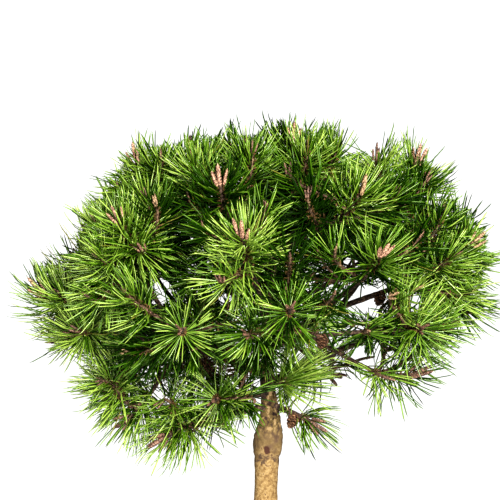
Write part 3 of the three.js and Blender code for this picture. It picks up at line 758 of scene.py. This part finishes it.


# -------------------- needles
# Needles grow in pairs from a short brown sheath, half round, with their flat sides together. They are
# densest under the buds and point forward there. Last year's needles stand off further down the twig.
# The greens run from fresh and lit to deep in shade: the lighter, shinier ones are painted light and the
# darker, duller ones painted shade, also dealt at random. Old, dead and sheath are the needles' own browns.
NEEDLE_TONES = {  # red, green, blue and shine
    "needle_fresh_lit": (0.25, 0.36, 0.055, 0.9),
    "needle_bright": (0.155, 0.265, 0.026, 0.8),
    "needle_green": (0.088, 0.175, 0.009, 0.6),
    "needle_full": (0.046, 0.11, 0.003, 0.3),
    "needle_deep": (0.018, 0.054, 0.0008, 0.1),
    "needle_shade": (0.005, 0.02, 0.0002, 0.04),
    "needle_old": (0.14, 0.14, 0.02, 0.3),
    "needle_dead": (0.2, 0.105, 0.045, 0.1),
    "needle_sheath": (0.14, 0.085, 0.035, 0.1),
}
NEEDLE_ROUGHNESS = 0.35
needle_materials = [
    plain_material(name, NEEDLE_ROUGHNESS, tone[3], tone[:3]) for name, tone in NEEDLE_TONES.items()
]
NEEDLE_RINGS = ((0, 0.8), (0.1, 0.95), (0.5, 1), (0.88, 0.86))  # share of the length and of the girth
NEEDLE_WIDTH, NEEDLE_THICKNESS, GIRTH_RANGE = 1.42, 0.8, (0.85, 1.12)
SPIRAL, STRAY_ANGLE, PAIR_OPENING = 137.5, 9, (3, 12)  # degrees
FULL_TURN = 6.28  # radians
HINDMOST_LENGTH, LENGTH_RANGE, TWIN_RANGE = 0.78, (0.82, 1.1), (0.94, 1.04)
CURL_RANGE, SIDE_BEND, ROOT_DEPTH, LEAST_SHARE = (0.3, 1.7), 0.4, 0.7, 0.12
NEEDLE_SEED = 57
rng = np.random.default_rng(NEEDLE_SEED)


def fascicles(branch, from_end, count, spread, length, curl, droop, twig_radius):
    """Pairs of needles round a stretch of a branch, as roots, ways, bends, lengths and roll vectors."""
    u = (np.arange(count) + rng.random(count)) / count
    shares = 1 - lerp(from_end[0], from_end[1], u) / branch.length
    keep = shares > LEAST_SHARE
    u, shares = u[keep], shares[keep]
    count = len(u)
    centre, along = branch.point(shares), branch.direction(shares)
    turn = np.radians(SPIRAL * np.arange(count) + rng.normal(0, STRAY_ANGLE, count))
    turn = (turn + FULL_TURN * rng.random())[:, None]
    aside = square_to(along, turn, (0.31, 0.17, 1))
    angle = np.radians(lerp(spread[0], spread[1], u) + rng.normal(0, STRAY_ANGLE, count))[:, None]
    way = along * np.cos(angle) + aside * np.sin(angle)
    roots = centre + aside * twig_radius * ROOT_DEPTH
    roll = rng.normal(size=(count, 3))
    roll = unit(roll - (roll * way).sum(1)[:, None] * way)
    opening = np.radians(rng.uniform(*PAIR_OPENING, count))[:, None]
    sizes = length * lerp(1, HINDMOST_LENGTH, u) * rng.uniform(*LENGTH_RANGE, count)
    bend = along * (curl * rng.uniform(*CURL_RANGE, count))[:, None] - np.array([0, 0, droop])
    bend = bend + roll * rng.normal(0, SIDE_BEND, count)[:, None]
    pairs = []
    for hand in (-1, 1):
        needle_way = way * np.cos(opening) + roll * np.sin(opening) * hand
        pairs.append((roots, needle_way, bend, sizes * rng.uniform(*TWIN_RANGE, count), roll * hand))
    return [np.concatenate(parts) for parts in zip(*pairs)]


def joined_mesh(name, points, corners, sides, slots, materials):
    """One piece from points in millimetres, the corners of all its faces in turn, and each face's sides."""
    mesh = bpy.data.meshes.new(name)
    mesh.vertices.add(points.size // 3)
    mesh.vertices.foreach_set("co", (points * MM).ravel())
    mesh.loops.add(len(corners))
    mesh.loops.foreach_set("vertex_index", corners)
    mesh.polygons.add(len(sides))
    mesh.polygons.foreach_set("loop_start", np.concatenate([[0], np.cumsum(sides)[:-1]]))
    mesh.polygons.foreach_set("loop_total", sides)
    for material in materials:
        mesh.materials.append(material)
    mesh.polygons.foreach_set("material_index", slots)
    mesh.update(calc_edges=True)
    piece = bpy.data.objects.new(name, mesh)
    bpy.context.collection.objects.link(piece)
    bpy.ops.object.select_all(action="DESELECT")
    bpy.context.view_layer.objects.active = piece
    piece.select_set(True)
    return piece


def needle_mesh(name, roots, ways, bends, sizes, rolls, tones):
    """All the needles of a piece as one mesh of three-sided blades with a sheath, a bend and a point."""
    count = len(roots)
    bends = bends - (bends * ways).sum(1)[:, None] * ways
    breadth = unit(np.cross(ways, rolls))
    points = np.empty((count, 13, 3))
    girth = rng.uniform(*GIRTH_RANGE, count)[:, None]
    for ring, (t, width) in enumerate(NEEDLE_RINGS):
        centre = roots + sizes[:, None] * (ways * t + bends * 0.5 * t * t)
        half = breadth * NEEDLE_WIDTH / 2 * width * girth
        points[:, ring * 3] = centre + half
        points[:, ring * 3 + 1] = centre + rolls * NEEDLE_THICKNESS * width * girth
        points[:, ring * 3 + 2] = centre - half
    points[:, 12] = roots + sizes[:, None] * (ways + bends * 0.5)
    rings = [(r * 3 + i, r * 3 + (i + 1) % 3) for r in range(3) for i in range(3)]
    quads = [(first, second, second + 3, first + 3) for first, second in rings]
    triangles = [(9 + i, 9 + (i + 1) % 3, 12) for i in range(3)] + [(2, 1, 0)]
    corners = np.array([c for face in quads + triangles for c in face])
    sides = [len(face) for face in quads + triangles]
    sheath = len(needle_materials) - 1
    slots = np.repeat(tones[:, None], len(sides), 1)
    slots[:, :3] = sheath
    # The stretch of each needle next to its sheath is one green darker, as painted shade at the heart of
    # the spray.
    slots[:, 3:6] = np.where(tones < DARKEST, tones + 1, tones)[:, None]
    slots[:, -1] = sheath
    loops = (corners[None] + 13 * np.arange(count)[:, None]).ravel()
    piece = joined_mesh(name, points, loops, np.tile(sides, count), slots.ravel(), needle_materials)
    piece.data.validate()
    return piece


# Where the neck and the fork show from the front. Needles before it are left out, but for a share, and so
# are those before a bud or a cone, within a half width and half height and by more than a depth.
BARE_FRONT, BARE_BEFORE = [(8, 520, 7, 32, 0.1), (-4, 566, 18, 12, 0.4)], -6
BUD_CLEARING, CONE_CLEARING = (4, 8, 2), (6, 9, 4)
GAP_EDGE = (0.7, 1.2)  # how far inside or outside a gap's edge a needle may end
SHORTEST_CUT = 0.5  # of its length that a needle keeps at least where it ends at a gap


def opened(spray, bud):
    """The spray with needles ending at the gaps, and without those that hide a bud, a cone or the neck."""
    roots, ways, bends, sizes = spray[:4]
    ends = roots + sizes[:, None] * (ways + bends * 0.5)
    nearest = np.minimum(roots[:, 1], ends[:, 1])
    left = np.ones(len(roots))
    for gap in SKY:
        share = before_gap(roots, ends, gap, rng.uniform(*GAP_EDGE, len(roots)))
        left = np.minimum(left, np.where(rng.random(len(roots)) < gap[4], 1, share))
    keep = left > SHORTEST_CUT
    clearings = [] if bud is None or bud[1] >= 0 else [(bud, *BUD_CLEARING)]
    clearings += [(place + way * CONE_LENGTH / 2, *CONE_CLEARING) for place, way in cone_spots]
    for middle, wide, high, before in clearings:
        hides = before_gap(roots, ends, (*seen(middle)[0], wide, high)) < 1
        keep &= ~(hides & (nearest < middle[1] - before))
    for gap in BARE_FRONT:
        hides = (before_gap(roots, ends, gap) < 1) & (nearest < BARE_BEFORE)
        keep &= ~hides | (rng.random(len(roots)) < gap[4])
    parts = (roots, ways, bends, sizes * left, *spray[4:])
    return tuple(part[keep] for part in parts)


# Where the crown lies in its own shade, seen from the front, where it lies in half shade and where the
# light falls on it, painted as darker and lighter greens: X, Z, half width and half height, before a depth
# of Y.
SHADE = [
    (48, 701, 36, 28), (-89, 734, 42, 24), (-19, 755, 32, 22), (34, 771, 28, 22), (-111, 675, 24, 20),
    (-121, 618, 20, 22), (-17, 630, 20, 22), (171, 709, 20, 16), (-120, 567, 28, 14),
]
HALF_SHADE = [
    (43, 785, 125, 48), (-76, 802, 36, 32), (120, 713, 34, 50), (-79, 718, 28, 34), (-126, 652, 22, 24),
    (-96, 576, 40, 20), (211, 643, 28, 24),
]
BRIGHT = [
    (-35, 719, 44, 26), (-169, 713, 24, 38), (-139, 775, 30, 24), (-224, 640, 28, 46), (-178, 606, 28, 20),
    (-157, 533, 46, 44), (-67, 505, 40, 24), (110, 790, 16, 14),
]
AREA_DEPTH = 60
# Shares of the greens, from fresh to darkest, that a whole spray leans to: as painted light where the light
# falls on it, then on the crown's surface, and ever darker as painted shade below it, deep in it and in its
# shade. Each needle then strays from its spray's green as STRAY says.
TONE_SHARES = [
    (0.62, 0.3, 0.08, 0, 0, 0),
    (0.24, 0.31, 0.23, 0.15, 0.06, 0.01),
    (0.04, 0.18, 0.28, 0.26, 0.17, 0.07),
    (0, 0.03, 0.11, 0.27, 0.33, 0.26),
    (0, 0, 0.03, 0.14, 0.29, 0.54),
]
SURFACE, INNER = 0.86, 0.66  # shares of the crown's reach
STRAY = {-2: 0.06, -1: 0.21, 0: 0.3, 1: 0.17, 2: 0.14, 3: 0.12}
DARKEST, OLD, OLD_SHARE = 5, 6, 0.008


def lies_in(areas, place):
    x, z = seen(place)[0]
    inside_any = any(math.hypot((x - area[0]) / area[2], (z - area[1]) / area[3]) < 1 for area in areas)
    return place[1] < AREA_DEPTH and inside_any


def tone_of(place):
    """The green that a spray leans to: painted shade the deeper in the crown it lies or in shade, painted
    light where lit.
    """
    offset = (place - CROWN_CENTRE) / CROWN_HALF
    depth = np.linalg.norm(offset) / reach_towards(unit(offset))
    level = 1 + (depth < SURFACE) + (depth < INNER) + lies_in(HALF_SHADE, place)
    if lies_in(BRIGHT, place) and depth > INNER:
        level = 0
    shares = TONE_SHARES[4 if lies_in(SHADE, place) else min(level, 4)]
    return int(rng.choice(len(shares), p=shares))


def tones_near(tone, count):
    """The tones of a spray's needles: greens on either side of its own, and a few yellowed ones."""
    if tone > DARKEST:
        return np.full(count, tone)
    tones = np.clip(tone + rng.choice(list(STRAY), count, p=list(STRAY.values())), 0, DARKEST)
    tones[rng.random(count) < OLD_SHARE] = OLD
    return tones


# Each kind of spray: the stretch it grows on, from and to, in millimetres from the shoot's end, its pairs
# of needles, how far the hindmost and foremost stand off in degrees, their length, curl and droop, and the
# radius of the twig.
SPRAYS = {
    "star": ((28, 3), 64, (100, 42), 40, 0.45, 0.04, 2),
    "leading": ((40, 7), 80, (94, 37), 46, 0.62, 0.04, 2),
    "side": ((40, 7), 49, (92, 37), 44, 0.62, 0.04, 2),
    "last_year": ((78, 44), 14, (104, 88), 38, 0.35, 0.12, 2),
    "fine": ((28, 5), 22, (90, 34), 35, 0.5, 0.05, 1.5),
    "hanging": ((96, 24), 46, (112, 84), 51, 0.1, 0.95, 3),
}
SPUR_STRETCH, SPUR_CURL, SPUR_DROOP, SPUR_TWIG = (10, 1), 0.4, 0.1, 2
leaders = list(limbs.values())
sprays = {name: [] for name in limbs}


def add_spray(name, branch, kind, thinned=1, length=None, droop=None, tone=None):
    stretch, count, spread, usual_length, curl, usual_droop, twig_radius = SPRAYS[kind]
    length, droop = length or usual_length, usual_droop if droop is None else droop
    spray = fascicles(branch, stretch, int(count * thinned), spread, length, curl, droop, twig_radius)
    tip = branch.point(1)
    tones = tones_near(tone_of(tip) if tone is None else tone, len(spray[0]))
    sprays[name].append(opened((*spray, tones), tip if branch in leaders else None))


# Masses whose leading shoot has its needles in a star, with their length, and the greens that some of the
# leading shoots lean to, the lighter ones as painted light and the darker ones as painted shade.
STARS = {"front_mid": 39, "front_left_low": 36, "skirt_front_left": 47, "front_right_low": 51}
LEADING_TONES = {
    "top": 2, "top_front": 4, "left_wing": 1, "front_mid": 2, "right_wing": 2, "skirt_right": 3,
    "skirt_inner": 2, "skirt_front_left": 0, "skirt_left_low": 1, "front_brow": 0, "front_left_low": 1,
    "left_shoulder": 1, "skirt_left": 0, "skirt_left_front": 1, "top_left": 0, "front_right_high": 1,
    "front_right_mid": 2, "top_right": 1, "front_right_low": 1,
}
# How far the needles of a mass hang at the left or low in the crown, or sweep up where it is below zero.
DROOPS = {
    "left_wing": -0.7, "skirt_left": -0.35, "skirt_left_front": 0.35, "skirt_left_low": 0.3,
    "skirt_inner": 0.35,
}
DROOPS_LEFT_OF, DROOPS_BELOW = -150, 580
THINNED_IN_SHADE, THINNED_DROOPING = 0.6, 0.45

for order, (name, branch) in enumerate(shoots):
    tip = branch.point(1)
    thinned = THINNED_IN_SHADE if lies_in(SHADE, tip) else 1
    thinned *= THINNED_DROOPING if name in DROOPING else 1
    at_edge = tip[0] < DROOPS_LEFT_OF or tip[2] < DROOPS_BELOW
    droop = DROOPS.get(name) if at_edge else None
    leads = order < len(limbs)
    star = leads and name in STARS
    if star:
        add_spray(name, branch, "star", length=STARS[name], droop=droop, tone=LEADING_TONES[name])
    elif leads:
        add_spray(name, branch, "leading", thinned, droop=droop, tone=LEADING_TONES.get(name))
    else:
        add_spray(name, branch, "side", thinned, droop=droop)
    if name not in DROOPING and not star:
        # Last year's needles take the two darkest greens: they are older, and darker still as painted shade
        # under the new growth.
        add_spray(name, branch, "last_year", tone=int(rng.choice((DARKEST - 1, DARKEST))))
for name, branch in fine_twigs:
    add_spray(name, branch, "fine")
for name in DROOPING:
    add_spray(name, limbs[name], "hanging")
for spur, (_, _, _, count, (foremost, hindmost), length, tone) in zip(spurs, SPURS):
    shape = (SPUR_STRETCH, count, (hindmost, foremost), length, SPUR_CURL, SPUR_DROOP, SPUR_TWIG)
    spray = fascicles(spur, *shape)
    sprays["front_mid"].append((*spray, tones_near(tone, len(spray[0]))))

NEEDLE_PIECES = {
    "needles_top": ("top", "top_front", "top_back", "top_left"),
    "needles_top_right": ("top_right", "front_right_high", "right_wing"),
    "needles_front": ("front_mid", "front_brow", "front_left_low", "skirt_front_left"),
    "needles_front_right": ("front_right_mid", "front_right_low", "skirt_right", "skirt_inner"),
    "needles_left": ("left_wing", "left_shoulder", "left_hollow", "skirt_left"),
    "needles_low_left": ("skirt_left_front", "skirt_left_low", "back_left_low", "skirt_back_left"),
    "needles_back": (
        "back_mid", "back_left_shoulder", "back_right_shoulder", "back_right_low", "skirt_back_right"
    ),
}
for piece_name, names in NEEDLE_PIECES.items():
    parts = [spray for name in names for spray in sprays[name]]
    piece = needle_mesh(piece_name, *(np.concatenate(column) for column in zip(*parts)))
    bpy.ops.object.shade_smooth()
    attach(piece, "root")
    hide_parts(*("foliage_" + name for name in names))


# -------------------- buds
# A resinous bud ends each shoot, often with two or three smaller ones round it. Its papery scales lie in
# rows, so one bud is turned as a stepped spindle and then copied to every tip.
BUD_SIDES, BUD_ROWS, BUD_FOOT, BUD_RADIUS, BUD_POINT = 6, 8, 1.1, 1.75, 0.12
ROW_STEPS = ((1.2, 1.0), (0.3, 0.66))  # how far each row rises and then steps in, with the share of girth
bpy.ops.object.select_all(action="DESELECT")
bpy.ops.mesh.primitive_circle_add(vertices=BUD_SIDES, radius=BUD_FOOT * MM, fill_type="NGON")
bud = bpy.context.object
edit_mode(True)
radius, top = BUD_FOOT, 0.0
for row in range(BUD_ROWS):
    share = (row + 1) / BUD_ROWS
    for lift, girth in ROW_STEPS:
        wanted = BUD_RADIUS * (1 - share**5) ** 0.5 * min(0.75 + share, 1) * girth + BUD_POINT
        top += lift
        next_ring((0, 0, lift * MM), wanted / radius, (0, 0, top * MM))
        radius = wanted
bpy.ops.mesh.select_all(action="SELECT")
bpy.ops.mesh.quads_convert_to_tris()
face_outwards()


def mesh_arrays(piece):
    corners = np.empty(len(piece.data.vertices) * 3)
    piece.data.vertices.foreach_get("co", corners)
    faces = np.array([list(polygon.vertices) for polygon in piece.data.polygons])
    return corners.reshape(-1, 3) / MM, faces


def joined_copies(name, model, places, ways, sizes, slots, materials):
    """Copies of a model standing at places and pointing along ways, joined into one piece."""
    points, faces = model
    ways = unit(ways)
    side = square_to(ways, rng.uniform(0, FULL_TURN, len(places))[:, None], (0.42, 0.31, 0.85))
    axes = np.stack([side * sizes[:, :1], np.cross(ways, side) * sizes[:, :1], ways * sizes[:, 1:]], axis=1)
    placed = np.einsum("pk,nkc->npc", points, axes) + places[:, None]
    corners = (faces.ravel()[None] + len(points) * np.arange(len(places))[:, None]).ravel()
    sides = np.full(len(corners) // 3, 3)
    piece = joined_mesh(name, placed, corners, sides, np.repeat(slots, len(faces)), materials)
    edit_mode(True)
    face_outwards()
    return piece


BUD_TONES = {
    "bud_pink": [(0.44, (0.07, 0.028, 0.018)), (0.6, (0.5, 0.3, 0.2))],
    "bud_tan": [(0.44, (0.07, 0.038, 0.02)), (0.6, (0.47, 0.31, 0.175))],
    "bud_brown": [(0.45, (0.035, 0.018, 0.012)), (0.58, (0.22, 0.12, 0.08))],
}
bud_materials = [bark_material(name, stops, 0.5, 1.5, 0.4) for name, stops in BUD_TONES.items()]
# For the buds of leading and of other shoots: size, how many smaller ones stand round it, and the shares
# of the three tones. Low in the crown and in the stars all are brown.
LEADING_BUDS = ((1.15, 1.45), (2, 3, 3), (0.5, 0.3, 0.2))
OTHER_BUDS = ((0.55, 0.9), (0, 0, 1, 2), (0.1, 0.2, 0.7))
FINE_BUD, STAR_BUD_SHARE, BROWN, BROWN_BELOW, BUD_SINK = 0.45, 0.72, 2, 585, 7
SLIMNESS, ROUND_SIZE, ROUND_SLIMNESS = (1.25, 1.5), (0.68, 0.88), 1.4
ROUND_ASIDE, ROUND_UP, ROUND_LEAN = 3, 0.5, 0.3
placed_buds = []
for order, (name, branch) in enumerate(shoots + fine_twigs + [("spur", spur) for spur in spurs[:2]]):
    fine = name != "spur" and order >= len(shoots)
    end, way = branch.point(1), branch.direction(1)
    leads = order < len(limbs) or name == "spur"
    star = leads and name in STARS
    size_range, round_counts, tone_shares = LEADING_BUDS if leads else OTHER_BUDS
    tone = BROWN if star or end[2] < BROWN_BELOW else int(rng.choice(3, p=tone_shares))
    main = FINE_BUD if fine else rng.uniform(*size_range)
    main *= STAR_BUD_SHARE if star else 1
    around = 0 if fine else int(rng.choice(round_counts))
    start = end - way * BUD_SINK * main
    placed_buds.append((start, way, (main, main * rng.uniform(*SLIMNESS)), tone))
    first_turn = rng.uniform(0, FULL_TURN)
    for i in range(around):
        lean = square_to(way, first_turn + i * FULL_TURN / around, (0.4, 0.5, 0.7))
        size = main * rng.uniform(*ROUND_SIZE)
        place = start + lean * ROUND_ASIDE * main + way * ROUND_UP
        placed_buds.append((place, unit(way + lean * ROUND_LEAN), (size, ROUND_SLIMNESS * size), tone))
columns = (np.array(column) for column in zip(*placed_buds))
buds = joined_copies("buds", mesh_arrays(bud), *columns, bud_materials)
bpy.data.objects.remove(bud)
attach(buds, "root")


# -------------------- cones
# Ripe cones sit on the stems of four masses. Each is an egg of thick scales in a spiral: one scale is
# shaped as a blunt block, and copies of it are laid round the cone's middle line.
CONE_SCALES, SCALE_SIZE, SCALE_BEVEL = 44, (3.6, 1.5, 3.0), 0.5
SCALE_INSET, SCALE_RISE, LEAST_SCALE, BELLY_SCALE = 2.4, 0.55, 0.46, 0.68
bpy.ops.object.select_all(action="DESELECT")
bpy.ops.mesh.primitive_cube_add(size=1 * MM)
scale = bpy.context.object
edit_mode(True)
bpy.ops.transform.resize(value=SCALE_SIZE)
bpy.ops.mesh.bevel(offset=SCALE_BEVEL * MM, segments=1)
bpy.ops.mesh.select_all(action="SELECT")
bpy.ops.mesh.quads_convert_to_tris()
edit_mode(False)
scale_points, scale_faces = mesh_arrays(scale)
cone_points, cone_faces = [], []
for i in range(CONE_SCALES):
    share = (i + 0.5) / CONE_SCALES
    belly = math.sin(math.pi * share**0.72) ** 0.7
    turn = math.radians(SPIRAL * i)
    aside = np.array([math.cos(turn), math.sin(turn), 0])
    across = np.array([-math.sin(turn), math.cos(turn), 0])
    out = unit(aside + (0, 0, SCALE_RISE))
    over = np.cross(out, across)
    spot = aside * (CONE_RADIUS - SCALE_INSET) * belly + (0, 0, CONE_LENGTH * share)
    local = scale_points * (LEAST_SCALE + BELLY_SCALE * belly)
    cone_faces.append(scale_faces + len(scale_points) * i)
    cone_points.append(spot + local[:, :1] * across + local[:, 1:2] * over + local[:, 2:] * out)
bpy.data.objects.remove(scale)
CONE_TONES = [(0.38, (0.02, 0.009, 0.006)), (0.52, (0.095, 0.045, 0.022)), (0.68, (0.27, 0.145, 0.075))]
cones = joined_copies(
    "cones",
    (np.concatenate(cone_points), np.concatenate(cone_faces)),
    *(np.array(column) for column in zip(*cone_spots)),
    np.ones((len(cone_spots), 2)),
    np.zeros(len(cone_spots), int),
    [bark_material("cone_scales", CONE_TONES, 0.7, 2.6, 0.5)],
)
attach(cones, "root")


# -------------------- floor, light and camera
# A pale floor at the foot of the stem, a white backdrop that lights the plant only faintly, a small key
# light from the front right, a soft fill light from the left, and a level camera with a long lens.
AMBIENT = 0.045
bpy.ops.object.select_all(action="DESELECT")
bpy.ops.mesh.primitive_circle_add(vertices=128, radius=3.2, fill_type="NGON", location=(0, 0, -0.0005))
floor = bpy.context.object
floor.name = "floor"
floor.data.materials.append(plain_material("pale_floor", 0.9, 0.5, (0.78, 0.78, 0.78)))
floor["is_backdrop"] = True

world = bpy.data.worlds.new("studio")
world.use_nodes = True
nodes, links = world.node_tree.nodes, world.node_tree.links
backdrop = nodes["Background"]
backdrop.inputs["Color"].default_value = (1, 1, 1, 1)
ray = nodes.new("ShaderNodeLightPath")
brightness = nodes.new("ShaderNodeMapRange")
brightness.inputs["To Min"].default_value = AMBIENT
links.new(ray.outputs["Is Camera Ray"], brightness.inputs["Value"])
links.new(brightness.outputs["Result"], backdrop.inputs["Strength"])
scene = bpy.context.scene
scene.world = world


def add_light(name, place, aim, size, power, colour):
    bpy.ops.object.light_add(type="AREA", location=place)
    light = bpy.context.object
    light.name = name
    light.data.size = size
    light.data.energy = power
    light.data.color = colour
    way = np.array(aim) - np.array(place)
    flat = math.hypot(way[0], way[1])
    light.rotation_euler = (math.atan2(flat, -way[2]), 0, math.atan2(-way[0], way[1]))


add_light("key_light", (0.65, -2.6, 1.4), (0, 0, 0.65), 0.35, 222, (1.0, 0.98, 0.93))
add_light("fill_light", (-1.9, -1.6, 0.7), (0, 0, 0.65), 1.0, 27, (0.98, 0.99, 0.97))

SENSOR_WIDTH, VIEW_WIDTH = 36, 0.5
bpy.ops.object.camera_add(location=VIEWPOINT * MM, rotation=(math.pi / 2, 0, 0))
camera = bpy.context.object
camera.data.sensor_width = SENSOR_WIDTH
camera.data.lens = SENSOR_WIDTH * 2.2 / VIEW_WIDTH
scene.camera = camera
scene.view_settings.view_transform = "Standard"
scene.view_settings.look = "Medium High Contrast"

plain_box = lambda box: [[float(c) for c in corner] for corner in box]
{"solids": plain_box(solid_box), "visual": plain_box(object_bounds())}
